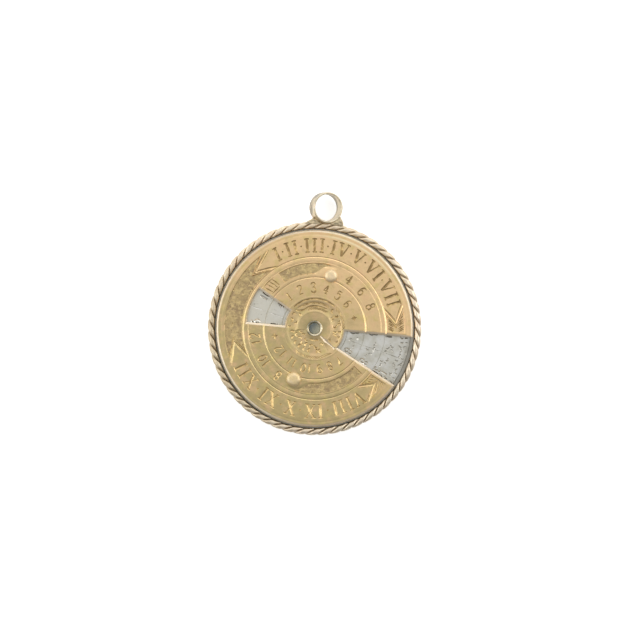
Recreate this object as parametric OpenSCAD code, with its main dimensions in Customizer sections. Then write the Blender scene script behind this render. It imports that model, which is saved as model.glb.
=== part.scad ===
// Perpetual calendar fob. It lies flat with its face up: +Z leaves the face, +Y points at the bail.
// The origin is on the pivot axis, halfway through the thickness of the dial.

/* [Dial and case] */
// Diameter of the silver dial
dial_d = 27.86; // [26:0.02:32]
// Thickness of the silver dial
dial_t = 0.5; // [0.4:0.05:0.8]
// Wall of the band behind the dial
band_wall = 0.6; // [0.5:0.05:1]
// Chamfer on the back corners of the band
band_chamfer = 0.12; // [0.06:0.01:0.18]
// Reach of the ledge under the rope, beyond the dial
ledge_w = 0.75; // [0.4:0.05:0.85]
// Thickness of that ledge
ledge_t = 0.25; // [0.2:0.05:0.4]
// Depth of the back studs below the back edge of the band
stud_recess = 0.28; // [0.2:0.02:0.6]

/* [Rope border] */
// Thickness of each of the two twisted wires
wire_d = 0.52; // [0.4:0.02:0.64]
// Width of a wire over its thickness, as it is flattened by the twist
wire_flat = 1.45; // [1:0.05:1.5]
// Full turns of the twist in one round
rope_turns = 28; // [22:1:34]

/* [Plates] */
// Thickness of both turning plates
plate_t = 0.45; // [0.4:0.05:0.7]
// Bevel on the edge of both plates
plate_bevel = 0.25; // [0.1:0.01:0.3]
// Diameter of the back plate
back_plate_d = 21; // [19:0.1:23]

/* [Openings of the front plate] */
// Radius at which the window and the notch begin
opening_in_r = 4.2; // [3.4:0.1:5]
// Radius at which the closed window ends
window_out_r = 9.56; // [8.8:0.02:10.4]
// Angle that each opening spans, which is one month
month_span = 30; // [24:1:34]
// Angle at the middle of the closed window
window_mid = 165; // [155:1:175]
// Distance of the lower edge of the notch from the pivot
notch_set_off = 0.52; // [0.2:0.02:0.8]
// Turn of that edge away from the month that it shows
notch_ease = 2; // [0:0.5:4]
// Width of the bevel round both openings
opening_bevel_w = 0.28; // [0.1:0.02:0.4]
// Depth of that bevel
opening_bevel_h = 0.14; // [0.06:0.01:0.24]

/* [Studs] */
// Radius of the circle on which the studs stand
stud_circle_r = 7.7; // [6.6:0.1:8.4]
// Angle of the upper stud
upper_stud_angle = 78; // [62:1:94]
// Angle of the lower stud
lower_stud_angle = 253; // [238:1:268]
// Diameter of the upper studs
upper_stud_d = 1.82; // [1.5:0.02:2.2]
// Diameter of the lower studs
lower_stud_d = 2; // [1.5:0.02:2.2]
// Width of the bevel round the top of a stud
stud_bevel_w = 0.33; // [0.2:0.01:0.4]
// Height of a stud over its plate
stud_h = 0.7; // [0.5:0.05:1]
// Height of the bevel round the top of a stud
stud_bevel_h = 0.22; // [0.1:0.02:0.44]
// Diameter of the shank that is riveted through the plate
stud_shank_d = 0.8; // [0.6:0.02:1]
// Depth of the riveted countersink at the end of the shank
stud_sink_h = 0.18; // [0.1:0.01:0.24]

/* [Pivot] */
// Bore of the hollow eyelet
eyelet_bore_d = 1.52; // [1.3:0.02:1.7]
// Wall of the eyelet
eyelet_wall = 0.16; // [0.12:0.01:0.2]
// Diameter of the rolled lips of the eyelet
eyelet_lip_d = 2.3; // [2.24:0.02:2.6]
// Diameter of the washers beside the dial
washer_d = 4.4; // [3.6:0.1:5.6]
// Thickness of the washers
washer_t = 0.1; // [0.06:0.01:0.2]

/* [Bail] */
// Outside diameter of the bail ring
bail_d = 4.36; // [3.8:0.02:5.2]
// Wall of the bail ring
bail_wall = 0.3; // [0.24:0.02:0.5]
// Width of the bail ring along its bore
bail_w = 2.1; // [1.5:0.1:2.3]
// Turn of the bail ring about the line from the pivot
bail_turn = 19; // [8:1:22]
// Depth to which the bail ring is let in over the crest of the rope
bail_sink = 0.18; // [0:0.02:0.18]
// Distance of the near side of each shoulder from the middle of the bail
shoulder_near = 1.35; // [1.1:0.05:1.5]
// Width of each shoulder along the rope
shoulder_w = 1.5; // [1:0.05:1.7]
// Width of the left shoulder at its top
left_top_w = 0.7; // [0.6:0.05:1]
// Width of the right shoulder at its top
right_top_w = 1; // [0.6:0.05:1.2]
// Height of each shoulder over the crest of the rope
shoulder_h = 0.8; // [0.4:0.02:0.9]
// Depth of each shoulder from front to back
shoulder_depth = 1; // [0.6:0.05:1.4]

/* [Clearances] */
// Gap at seats that are soldered
solder_gap = 0.02; // [0.01:0.01:0.04]
// Radial running clearance of the plates on the eyelet
run_gap = 0.03; // [0.02:0.01:0.06]
// Play of each plate along the pivot
axial_play = 0.02; // [0.01:0.01:0.05]
// Gap between the edge of the front plate and the rope
rim_gap = 0.19; // [0.1:0.01:0.3]
// Gap round the riveted shanks
rivet_gap = 0.01; // [0.01:0.005:0.02]
// Gap between the bail ring and the rope in its saddle
bail_gap = 0.03; // [0.02:0.01:0.05]

/* [Hidden] */
$fn = 96;

// Margin by which a cutter passes the faces that it cuts
cut = 1;

// Colours
gold = [0.80, 0.65, 0.38];
pale_gold = [0.85, 0.72, 0.52];
silver = [0.72, 0.72, 0.72];
brass = [0.70, 0.56, 0.32];

// Levels along the pivot
dial_r = dial_d / 2;
plate_z = dial_t / 2 + washer_t + 2 * axial_play;
lip_z = plate_z + plate_t + axial_play;
band_back_z = plate_z + plate_t + stud_h + stud_recess;

// Rope: the two wires lie on opposite sides of its middle line
wire_r = wire_d / 2;
strand_offset = wire_r + solder_gap / 2;
rope_half = strand_offset + wire_r;
rope_in_r = dial_r + solder_gap;
rope_r = rope_in_r + rope_half;
rope_out_r = rope_r + rope_half;
rings_per_turn = 10;
wire_sides = 10;
ring_count = rope_turns * rings_per_turn;

// Plates and pivot
front_plate_r = rope_in_r - rim_gap;
eyelet_shank_r = eyelet_bore_d / 2 + eyelet_wall;
lip_round_r = (eyelet_lip_d - eyelet_bore_d) / 4;
lip_mid_r = (eyelet_lip_d + eyelet_bore_d) / 4;
plate_hole_r = eyelet_shank_r + run_gap;
seat_hole_r = eyelet_shank_r + rivet_gap;

// Bail: the ring is filed out to a saddle over the rope
bail_r = bail_d / 2;
bail_y = rope_out_r - bail_sink + bail_r;

// Point on the middle line of one wire, at the angle a round the fob
function wire_phase(a, start) = start + rope_turns * (a - 90);
function wire_side(a, start) =
    let (p = wire_phase(a, start)) [cos(p) * cos(a), cos(p) * sin(a), sin(p)];
function wire_mid(a, start) =
    [rope_r * cos(a), rope_r * sin(a), 0] + strand_offset * wire_side(a, start);

// Direction in which the wire runs at the angle a
function wire_run(a, start) =
    let (p = wire_phase(a, start),
         along = rope_r + strand_offset * cos(p),
         turn = strand_offset * rope_turns,
         v = [-along * sin(a) - turn * sin(p) * cos(a),
              along * cos(a) - turn * sin(p) * sin(a),
              turn * cos(p)])
    v / norm(v);

// Section of the wire there, square to its run
function wire_section(a, start) =
    let (side = wire_side(a, start), up = cross(wire_run(a, start), side))
    [for (k = [0 : wire_sides - 1])
        let (b = 360 * (k + 0.5) / wire_sides)
        wire_mid(a, start) + wire_r * (cos(b) * side + wire_flat * sin(b) * up)];

function ring_corner(ring, k) = (ring % ring_count) * wire_sides + k % wire_sides;

// One closed wire of the twisted rope
module rope_strand(start) {
    points = [for (i = [0 : ring_count - 1]) each wire_section(360 * i / ring_count, start)];
    faces = [for (i = [0 : ring_count - 1], k = [0 : wire_sides - 1])
        each [[ring_corner(i, k), ring_corner(i + 1, k), ring_corner(i, k + 1)],
              [ring_corner(i + 1, k), ring_corner(i + 1, k + 1), ring_corner(i, k + 1)]]];
    color(pale_gold) polyhedron(points, faces);
}

module rope_strand_a() {
    rope_strand(90);
}

module rope_strand_b() {
    rope_strand(270);
}

// Band that carries the dial and, on its ledge, the rope, and on which the fob lies
module case_band() {
    in_r = dial_r - band_wall;
    ledge_z = rope_half + solder_gap;
    color(gold) rotate_extrude() polygon([
        [in_r, -dial_t / 2],
        [dial_r, -dial_t / 2],
        [dial_r, -ledge_z],
        [dial_r + ledge_w, -ledge_z],
        [dial_r + ledge_w, -ledge_z - ledge_t],
        [dial_r, -ledge_z - ledge_t],
        [dial_r, band_chamfer - band_back_z],
        [dial_r - band_chamfer, -band_back_z],
        [in_r + band_chamfer, -band_back_z],
        [in_r, band_chamfer - band_back_z]]);
}

// Plain ring round the pivot, from the level z upwards
module pivot_disc(r, hole_r, z, t) {
    difference() {
        translate([0, 0, z]) cylinder(r = r, h = t);
        translate([0, 0, z - cut]) cylinder(r = hole_r, h = t + 2 * cut);
    }
}

module silver_dial() {
    color(silver) pivot_disc(dial_r, seat_hole_r, -dial_t / 2, dial_t);
}

module front_washer() {
    color(brass) pivot_disc(washer_d / 2, seat_hole_r, dial_t / 2 + axial_play, washer_t);
}

module back_washer() {
    mirror([0, 0, 1]) front_washer();
}

// Half section of the rolled lip over the front plate
module lip_section() {
    intersection() {
        translate([lip_mid_r, lip_z]) circle(r = lip_round_r);
        translate([0, lip_z]) square([eyelet_lip_d, eyelet_lip_d]);
    }
}

// Hollow rivet that both plates turn on
module pivot_eyelet() {
    color(pale_gold) rotate_extrude() {
        translate([eyelet_bore_d / 2, -lip_z]) square([eyelet_wall, 2 * lip_z]);
        lip_section();
        mirror([0, 1]) lip_section();
    }
}

// Outline of a stud from its middle outwards, with its plate's face at zero and room all round
module stud_section(d, room) {
    shank_r = stud_shank_d / 2 + room;
    polygon([
        [0, stud_h],
        [d / 2 - stud_bevel_w, stud_h],
        [d / 2, stud_h - stud_bevel_h],
        [d / 2, 0],
        [shank_r, 0],
        [shank_r, stud_sink_h - plate_t],
        [shank_r + stud_sink_h, -plate_t],
        [0, -plate_t]]);
}

module stud_place(angle) {
    rotate(angle) translate([stud_circle_r, 0, plate_z + plate_t]) children();
}

module stud(angle, d) {
    color(pale_gold) stud_place(angle) rotate_extrude() stud_section(d, 0);
}

// Bevelled disc with its pivot hole and the holes of its studs
module turning_plate(r) {
    difference() {
        rotate_extrude() polygon([
            [plate_hole_r, plate_z],
            [r, plate_z],
            [r, plate_z + plate_t - plate_bevel],
            [r - plate_bevel, plate_z + plate_t],
            [plate_hole_r, plate_z + plate_t]]);
        for (angle = [upper_stud_angle, lower_stud_angle])
            stud_place(angle) rotate_extrude() stud_section(upper_stud_d, rivet_gap);
    }
}

// Point at the distance d along the angle a, and the way square to it
function along(a, d) = d * [cos(a), sin(a)];
function aside(a, d) = d * [-sin(a), cos(a)];

// Sides of the closed window, moved outwards by grow
function window_sides(grow) =
    let (a = window_mid - month_span / 2, b = window_mid + month_span / 2, reach = 2 * window_out_r,
         tip = along(window_mid, -grow / sin(month_span / 2)))
    [tip, along(a, reach) + aside(a, -grow), along(b, reach) + aside(b, grow)];

// Sides of the notch, with its lower one set off from the pivot, moved outwards by grow
function notch_sides(grow) =
    let (upper = window_mid - 180 + month_span / 2,
         lower = window_mid - 180 - month_span / 2 + notch_ease, reach = 2 * front_plate_r)
    [aside(upper, grow), along(upper, reach) + aside(upper, grow),
     along(lower, reach) + aside(lower, -notch_set_off - grow), aside(lower, -notch_set_off - grow)];

// Opening with straight sides, cut through the plate
module through(sides) {
    translate([0, 0, plate_z - cut]) linear_extrude(plate_t + 2 * cut) polygon(sides);
}

// Its sides sloping outwards at the face, from one bevel's depth below the face to one above
module flare(low, high) {
    face_z = plate_z + plate_t;
    n = len(low);
    points = concat([for (p = low) [p[0], p[1], face_z - opening_bevel_h]],
                    [for (p = high) [p[0], p[1], face_z + opening_bevel_h]]);
    walls = [for (i = [0 : n - 1])
        let (j = (i + 1) % n) each [[i, n + i, n + j], [i, n + j, j]]];
    polyhedron(points, concat([[for (i = [0 : n - 1]) i], [for (i = [n - 1 : -1 : 0]) n + i]], walls));
}

// The same slope on a round side of radius r, outwards or inwards
module round_flare(r, way) {
    translate([0, 0, plate_z + plate_t - opening_bevel_h])
        cylinder(r1 = r, r2 = r + way * 2 * opening_bevel_w, h = 2 * opening_bevel_h);
}

// Closed window over one month
module window_cut() {
    intersection() {
        through(window_sides(0));
        pivot_disc(window_out_r, opening_in_r, plate_z - cut, plate_t + 2 * cut);
    }
    difference() {
        intersection() {
            flare(window_sides(0), window_sides(2 * opening_bevel_w));
            round_flare(window_out_r, 1);
        }
        round_flare(opening_in_r, -1);
    }
}

// Notch over the opposite month, open to the rim
module notch_cut() {
    difference() {
        through(notch_sides(0));
        translate([0, 0, plate_z - 2 * cut]) cylinder(r = opening_in_r, h = plate_t + 4 * cut);
    }
    difference() {
        flare(notch_sides(0), notch_sides(2 * opening_bevel_w));
        round_flare(opening_in_r, -1);
    }
}

module front_plate() {
    color(gold) difference() {
        turning_plate(front_plate_r);
        window_cut();
        notch_cut();
    }
}

module front_stud_upper() {
    stud(upper_stud_angle, upper_stud_d);
}

module front_stud_lower() {
    stud(lower_stud_angle, lower_stud_d);
}

module back_plate() {
    color(gold) mirror([0, 0, 1]) turning_plate(back_plate_d / 2);
}

module back_stud_upper() {
    mirror([0, 0, 1]) stud(upper_stud_angle, upper_stud_d);
}

module back_stud_lower() {
    mirror([0, 0, 1]) stud(lower_stud_angle, lower_stud_d);
}

// Space round the whole rope
module rope_room(gap) {
    rotate_extrude() translate([rope_r, 0]) circle(r = rope_half + gap);
}

module bail_place() {
    translate([0, bail_y, 0]) rotate([0, bail_turn, 0]) children();
}

// Plain band bent to a ring and soldered on the rope, a little turned
module bail_ring() {
    color(pale_gold) difference() {
        bail_place() difference() {
            cylinder(r = bail_r, h = bail_w, center = true);
            cylinder(r = bail_r - bail_wall, h = bail_w + 2 * cut, center = true);
        }
        rope_room(bail_gap);
    }
}

// Gusset in the corner between the ring and the rope, which slopes to its top
module bail_shoulder(side, top_w) {
    far = shoulder_near + shoulder_w;
    top_y = rope_out_r + shoulder_h;
    color(pale_gold) difference() {
        translate([0, 0, -shoulder_depth / 2]) linear_extrude(shoulder_depth) polygon([
            [side * shoulder_near, rope_r],
            [side * far, rope_r],
            [side * (shoulder_near + top_w), top_y],
            [side * shoulder_near, top_y]]);
        bail_place() cylinder(r = bail_r + solder_gap, h = 2 * bail_d, center = true);
        rope_room(solder_gap);
        cylinder(r = rope_r, h = 2 * shoulder_depth, center = true);
    }
}

module bail_shoulder_left() {
    bail_shoulder(-1, left_top_w);
}

module bail_shoulder_right() {
    bail_shoulder(1, right_top_w);
}

case_band();
silver_dial();
rope_strand_a();
rope_strand_b();
bail_ring();
bail_shoulder_left();
bail_shoulder_right();
pivot_eyelet();
front_washer();
back_washer();
front_plate();
front_stud_upper();
front_stud_lower();
back_plate();
back_stud_upper();
back_stud_lower();
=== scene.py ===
import math
import random

import bmesh
import bpy
from mathutils import Matrix, Vector


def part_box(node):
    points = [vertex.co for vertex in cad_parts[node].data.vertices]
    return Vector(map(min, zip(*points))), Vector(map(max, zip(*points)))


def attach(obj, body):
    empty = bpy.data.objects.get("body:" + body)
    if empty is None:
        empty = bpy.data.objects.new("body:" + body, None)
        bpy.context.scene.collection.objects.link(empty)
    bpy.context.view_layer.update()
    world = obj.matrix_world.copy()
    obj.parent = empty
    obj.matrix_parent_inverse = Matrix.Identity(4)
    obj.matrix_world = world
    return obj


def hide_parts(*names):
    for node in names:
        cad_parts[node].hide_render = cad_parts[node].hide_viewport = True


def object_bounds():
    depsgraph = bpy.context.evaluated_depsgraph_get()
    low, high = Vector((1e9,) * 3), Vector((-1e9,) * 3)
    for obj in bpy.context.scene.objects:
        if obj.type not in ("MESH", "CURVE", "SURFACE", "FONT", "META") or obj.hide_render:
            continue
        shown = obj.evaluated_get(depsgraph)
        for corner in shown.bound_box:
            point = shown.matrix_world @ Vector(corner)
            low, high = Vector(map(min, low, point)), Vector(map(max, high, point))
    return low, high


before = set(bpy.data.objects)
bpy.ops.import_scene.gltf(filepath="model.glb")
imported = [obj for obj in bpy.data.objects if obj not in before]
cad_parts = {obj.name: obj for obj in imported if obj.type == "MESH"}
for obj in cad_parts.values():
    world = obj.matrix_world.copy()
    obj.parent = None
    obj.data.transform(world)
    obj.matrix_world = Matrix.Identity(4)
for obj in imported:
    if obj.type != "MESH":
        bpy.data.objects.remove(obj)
cadBox = [list(corner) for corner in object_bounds()]
mm = 0.001
chance = random.Random(7)


# shader helpers

class Wire:  # a socket, so that sums in a material read as sums
    def __init__(self, finish, socket):
        self.finish = finish
        self.socket = socket

    def sum(self, operation, *values):
        return self.finish.add("ShaderNodeMath", {"operation": operation}, dict(enumerate(values)))

    def __add__(self, other):
        return self.sum("ADD", self, other)

    def __radd__(self, other):
        return self.sum("ADD", other, self)

    def __sub__(self, other):
        return self.sum("SUBTRACT", self, other)

    def __rsub__(self, other):
        return self.sum("SUBTRACT", other, self)

    def __mul__(self, other):
        return self.sum("MULTIPLY", self, other)

    def __rmul__(self, other):
        return self.sum("MULTIPLY", other, self)

    def __pow__(self, other):
        return self.sum("POWER", self, other)


class Finish:  # the nodes of a material or of the world
    def __init__(self, owner):
        self.owner = owner
        owner.use_nodes = True
        self.tree = owner.node_tree
        self.tree.nodes.clear()

    def add(self, kind, settings=None, sockets=None, out=0):
        node = self.tree.nodes.new(kind)
        for key, value in (settings or {}).items():
            if key == "stops":
                for stop in range(len(value) - 2):
                    node.color_ramp.elements.new(0.5)
                for element, (place, colour) in zip(node.color_ramp.elements, value):
                    element.position = place
                    element.color = (*colour, 1)
            else:
                setattr(node, key, value)
        for key, value in (sockets or {}).items():
            if isinstance(value, Wire):
                self.tree.links.new(value.socket, node.inputs[key])
            else:
                node.inputs[key].default_value = value
        return Wire(self, node.outputs[out]) if node.outputs else None

    def place(self):  # where on the piece, in millimetres
        return self.scaled(self.add("ShaderNodeTexCoord", out=3), 1 / mm)

    def scaled(self, vector, by):  # a colour too
        return self.add("ShaderNodeVectorMath", {"operation": "SCALE"}, {0: vector, "Scale": by})

    def along(self, where, way):  # how far a spot lies in one direction
        return self.add("ShaderNodeVectorMath", {"operation": "DOT_PRODUCT"}, {0: where, 1: way}, out=1)

    def outward(self, where):  # how far a spot lies from the pivot
        flat = self.add("ShaderNodeVectorMath", {"operation": "MULTIPLY"}, {0: where, 1: (1, 1, 0)})
        return self.add("ShaderNodeVectorMath", {"operation": "LENGTH"}, {0: flat}, out=1)

    def larger(self, first, second):
        return self.add("ShaderNodeMath", {"operation": "MAXIMUM"}, {0: first, 1: second})

    def noise(self, where, size, detail=3, rough=0.55):  # 0 to 1, with patches of that size
        return self.add("ShaderNodeTexNoise", {}, {
            "Vector": where, "Scale": 1 / size, "Detail": detail, "Roughness": rough})

    def fade(self, value, low, high):  # 0 below low, 1 above high
        return self.add("ShaderNodeMapRange", {"interpolation_type": "SMOOTHSTEP"}, {
            "Value": value, "From Min": low, "From Max": high})

    def blend(self, share, first, second):
        return self.add("ShaderNodeMix", {"data_type": "RGBA"}, {0: share, 6: first, 7: second}, out=2)

    def bump(self, height, distance):
        return self.add("ShaderNodeBump", {}, {"Height": height, "Distance": distance * mm, "Strength": 1})

    def metal(self, colour, rough, normal):
        shader = self.add("ShaderNodeBsdfPrincipled", {}, {
            "Base Color": colour, "Roughness": rough, "Metallic": 1, "Normal": normal})
        self.add("ShaderNodeOutputMaterial", {}, {"Surface": shader})
        return self.owner


def rgb(red, green, blue):
    return (red, green, blue, 1)


goldLook = {
    "litBlush": rgb(0.97, 0.69, 0.37), "shadedOlive": rgb(0.625, 0.495, 0.245), "lean": (0.022, 0.045, 0),
    "rose": rgb(0.90, 0.60, 0.34), "lemon": rgb(0.76, 0.61, 0.24), "tarnish": rgb(0.48, 0.36, 0.18),
    "hub": rgb(0.40, 0.34, 0.17), "glintColour": rgb(1.0, 0.86, 0.56), "glintWay": (0.035, 0.08, 0),
    "rough": 0.36, "patch": 9.0, "mottle": 1.1, "stain": 0.30, "dent": 0.05,
}


def wornGold(name, look):  # painted light: the side towards the lean is painted lighter (blush) and the far side darker (olive), partly a real shift of tone; with stains and scratches
    f = Finish(bpy.data.materials.new(name))
    where = f.place()
    upper = f.along(where, look["lean"])
    if "litQuarters" in look:  # painted highlight: brightest in two opposite quarters
        x, y = (f.add("ShaderNodeSeparateXYZ", {}, {0: where}, out=k) for k in (0, 1))
        upper = upper + x * y * look["litQuarters"]
    # painted light: the share of the lit blush grows towards the lean
    litShare = f.fade(upper + f.noise(where, look["patch"], 2) + look.get("shift", 0), 0.1, 1.0)
    mottle = f.noise(where, look["mottle"], 4, 0.6)
    elsewhere = f.add("ShaderNodeVectorMath", {}, {0: where, 1: (31, 17, 5)})
    other = f.noise(elsewhere, look["mottle"] * 1.3, 4, 0.6)
    specks = f.fade(f.noise(where, 0.4, 4, 0.7), 0.55, 0.75)
    stains = f.fade(1 - mottle, 0.52, 0.75) * look["stain"]
    colour = f.blend(litShare, look["shadedOlive"], look["litBlush"])
    colour = f.blend(f.fade(mottle, 0.45, 0.68) * 0.6, colour, look["rose"])
    colour = f.blend(f.fade(other, 0.48, 0.7) * 0.6, colour, look["lemon"])
    colour = f.blend(stains + specks * 0.22, colour, look["tarnish"])
    if "hub" in look:
        out = f.outward(where)
        nearDirt = (1 - f.fade(out + mottle, 1.4, 2.9)) * 0.4  # round the eyelet
        farDirt = (1 - f.fade(out, 3.0, 9.0)) * 0.16
        colour = f.blend(nearDirt + farDirt, colour, look["hub"])
        rolled = f.fade(out, 12.74, 12.94) * (1 - f.fade(out, 13.0, 13.2))
        glintSide = f.fade(f.along(where, look["glintWay"]), 0.93, 1.13)  # painted highlight: the rolled edge is painted paler there, as if it caught the light
        colour = f.blend(rolled * glintSide * 0.7, colour, look["glintColour"])
    drawn = f.add("ShaderNodeMapping", {}, {
        "Vector": where, "Rotation": (0, 0, 0.6), "Scale": (0.12, 3, 1)})
    scratch = f.noise(drawn, 0.35, 4)
    rough = look["rough"] + mottle * 0.14 - 0.07 + f.fade(scratch, 0.55, 0.7) * 0.06
    dents = other + f.noise(where, 0.33, 3) * 0.26 + scratch * 0.06
    return f.metal(colour, rough, f.bump(dents, look["dent"]))


def grooveGold(name, colour, dark, lean=(0.003, 0.009, 0)):  # walls of a cut, dirty in patches and darker towards one side
    f = Finish(bpy.data.materials.new(name))
    where = f.place()
    darkShare = f.fade(f.noise(where, 0.8, 4, 0.6) + f.along(where, lean), 0.30, 0.70)
    rough = 0.34 + darkShare * 0.2
    return f.metal(f.blend(darkShare, colour, dark), rough, f.bump(f.noise(where, 0.12, 3), 0.02))


groundLook = {
    "pale": rgb(0.73, 0.56, 0.275), "brown": rgb(0.43, 0.31, 0.175), "green": rgb(0.57, 0.43, 0.215),
    "grain": 0.55, "cloud": 1.3, "rough": 0.42,
}


def mattedGold(name, look):  # the sunk grounds: punched, stained and uneven
    f = Finish(bpy.data.materials.new(name))
    where = f.place()
    cloud = f.noise(where, look["cloud"], 3, 0.6)
    grain = f.noise(where, look["grain"], 4, 0.6)
    colour = f.blend(f.fade(cloud, 0.35, 0.65), look["brown"], look["green"])
    colour = f.blend(f.fade(grain, 0.44, 0.66), colour, look["pale"])
    rough = look["rough"] + cloud * 0.1
    return f.metal(colour, rough, f.bump(grain + cloud * 0.8, 0.11))


ropeLook = {
    "crest": rgb(0.97, 0.85, 0.65), "side": rgb(0.90, 0.74, 0.56), "gap": rgb(0.34, 0.28, 0.20),
    "dimTone": rgb(0.52, 0.42, 0.25), "round": 14.46, "deep": 0.20, "clear": 0.50, "paintedShade": 0.32,
    "shadowWay": (0.022, 0.026, 0), "sharpWay": (0.03, -0.03, 0), "shadeDownWay": (0.01, -0.07, 0),
    "dimmerWay": (-0.06, -0.02, 0), "bailWay": (0.02, 0.07, 0),
}


def ropeGold(name, look):  # painted shade: bright on the crests, dark where the wires lie together, on the inner side towards the plate and away from the bail
    f = Finish(bpy.data.materials.new(name))
    where = f.place()
    high = f.add("ShaderNodeSeparateXYZ", {}, {0: where}, out=2)
    out = f.outward(where) - look["round"]
    depth = (out * out + high * high) ** 0.5
    wear = f.noise(where, 1.4, 4, 0.6)
    clean, shadeBelow, dimSide, byBail = (
        f.along(where, look[way]) for way in ("shadowWay", "shadeDownWay", "dimmerWay", "bailWay"))
    sharp = f.fade(f.along(where, look["sharpWay"]), -0.6, 0.3)
    # painted shade: darker in the creases where the two wires lie together, more so towards the lower right
    dark = (1 - f.fade(depth + wear * 0.06 - 0.03, look["deep"], look["clear"])) * (0.3 + sharp * 0.25)
    # painted shadow: the rope's inner side towards the plate is darker, most towards the upper right
    paintedShade = (1 - f.fade(out + wear * 0.2 - clean * 0.1, -0.36, -0.06)) * look["paintedShade"]
    colour = f.blend(f.fade(wear, 0.35, 0.7), look["crest"], look["side"])
    colour = f.blend(f.fade(shadeBelow, 0.0, 1.0) * 0.18, colour, look["gap"])  # painted shade: darker away from the bail, towards the bottom
    colour = f.blend(f.fade(dimSide + wear * 0.3, 0.45, 1.1) * 0.55, colour, look["dimTone"])  # darker to the left
    colour = f.blend(f.fade(byBail + wear * 0.5, 0.9, 1.35) * 0.2, colour, look["dimTone"])
    colour = f.blend(f.larger(dark, paintedShade), colour, look["gap"])
    rough = 0.46 + wear * 0.12 + dark * 0.2 - sharp * 0.1
    return f.metal(colour, rough, f.bump(f.noise(where, 0.5, 3), 0.04))


silverLook = {
    "clean": rgb(0.75, 0.74, 0.69), "dull": rgb(0.58, 0.56, 0.47), "spot": rgb(0.32, 0.30, 0.25),
    "bright": rgb(0.755, 0.727, 0.63), "brightWay": (-0.12, 0, 0), "rim": 12.6, "past": 13.9,
}


def oldSilver(name, look):
    f = Finish(bpy.data.materials.new(name))
    where = f.place()
    cloud = f.noise(where, 2.0, 4, 0.6)
    spots = f.fade(f.noise(where, 0.55, 5, 0.7), 0.56, 0.74)
    colour = f.blend(f.fade(cloud, 0.35, 0.7), look["clean"], look["dull"])
    colour = f.blend(f.fade(f.along(where, look["brightWay"]), 0.2, 1.0), colour, look["bright"])
    # painted shade: the silver darkens towards its rim, under the rope and the plate's edge
    paintedShade = f.fade(f.outward(where) + cloud * 0.5 - 0.25, look["rim"], look["past"])
    colour = f.blend(f.larger(spots * 0.55, paintedShade * 0.9), colour, look["spot"])
    rough = 0.36 + cloud * 0.16 + spots * 0.12
    dents = f.noise(where, 1.8, 3) + f.noise(where, 0.25, 3) * 0.1
    return f.metal(colour, rough, f.bump(dents, 0.04))


paleLook = {  # what the pale pieces share
    "rose": rgb(0.88, 0.70, 0.50), "lemon": rgb(0.82, 0.71, 0.45), "tarnish": rgb(0.46, 0.37, 0.24),
    "lean": (0.02, 0.04, 0), "rough": 0.36, "patch": 3.0, "mottle": 0.8, "stain": 0.35, "dent": 0.03,
}
# painted highlight: a paler copy of the gold for bevels and edges that catch the light
highlightLook = dict(paleLook, litBlush=rgb(1.0, 0.88, 0.68), shadedOlive=rgb(0.74, 0.60, 0.43), lean=(-0.01, 0.01, 0),
                litQuarters=0.006, patch=9.0, stain=0.15, rough=0.42)
# painted light: the ring is painted lighter to the right and towards its top, dark to the left and underneath
bailLook = dict(paleLook, litBlush=rgb(0.82, 0.74, 0.57), shadedOlive=rgb(0.25, 0.22, 0.16),
                lean=(0.42, -0.25, 0.62), shift=4.3, stain=0.6)
# dark solder, partly painted shade where the shoulders sit between ring and rope
solderLook = dict(paleLook, litBlush=rgb(0.56, 0.46, 0.30), shadedOlive=rgb(0.44, 0.36, 0.23),
                  tarnish=rgb(0.20, 0.16, 0.10), mottle=0.5, stain=1.0, dent=0.05)
studLook = dict(paleLook, litBlush=rgb(0.97, 0.77, 0.49), shadedOlive=rgb(0.88, 0.69, 0.38),
                patch=2.0, mottle=0.5, rough=0.5)
# painted light: the eyelet is painted bright towards the lower right and dark olive towards the upper left, as
# a lit and a shaded side
eyeletLook = dict(paleLook, litBlush=rgb(0.92, 0.82, 0.60), shadedOlive=rgb(0.26, 0.25, 0.18), lean=(0.5, -0.35, 0))

gold = wornGold("wornGold", goldLook)
goldCut = grooveGold("engravedGold", rgb(0.76, 0.56, 0.26), rgb(0.38, 0.26, 0.12))
goldGround = mattedGold("mattedGold", groundLook)
highlightGold = wornGold("paintedHighlightGold", highlightLook)
hubCut = grooveGold("carvedGold", rgb(0.86, 0.65, 0.32), rgb(0.52, 0.37, 0.17))
bailGold = wornGold("bailGold", bailLook)
solderGold = wornGold("solderGold", solderLook)
studGold = wornGold("studGold", studLook)
eyeletGold = wornGold("eyeletGold", eyeletLook)
rope = ropeGold("ropeGold", ropeLook)
silver = oldSilver("oldSilver", silverLook)
silverCut = grooveGold("engravedSilver", rgb(0.80, 0.78, 0.72), rgb(0.48, 0.46, 0.40), (0.012, 0, 0))
plateFinishes = [gold, goldCut, goldGround, highlightGold, hubCut]
plain, engraved, matted, highlightSlot, carved = range(5)  # their places in that list
dialFinishes = [silver, silverCut]  # plain and engraved
print("materials made")


# mesh helpers, all in millimetres until a piece is finished

def linked(name, data):
    piece = bpy.data.objects.new(name, data)
    bpy.context.scene.collection.objects.link(piece)
    return piece


def meshOf(bm, name):
    mesh = bpy.data.meshes.new(name)
    bm.to_mesh(mesh)
    bm.free()
    return linked(name, mesh)


def flatCurve(name, corners):  # a closed outline, for another curve to carry along
    curve = bpy.data.curves.new(name, "CURVE")
    curve.dimensions = "2D"
    line = curve.splines.new("POLY")
    line.points.add(len(corners) - 1)
    for point, corner in zip(line.points, corners):
        point.co = (*corner, 0, 1)
    line.use_cyclic_u = True
    return linked(name, curve)


def sweptCurve(name, section):  # carries the section upright
    curve = bpy.data.curves.new(name, "CURVE")
    curve.dimensions = "3D"
    curve.twist_mode = "Z_UP"
    curve.bevel_mode = "OBJECT"
    curve.bevel_object = section
    return curve


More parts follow.
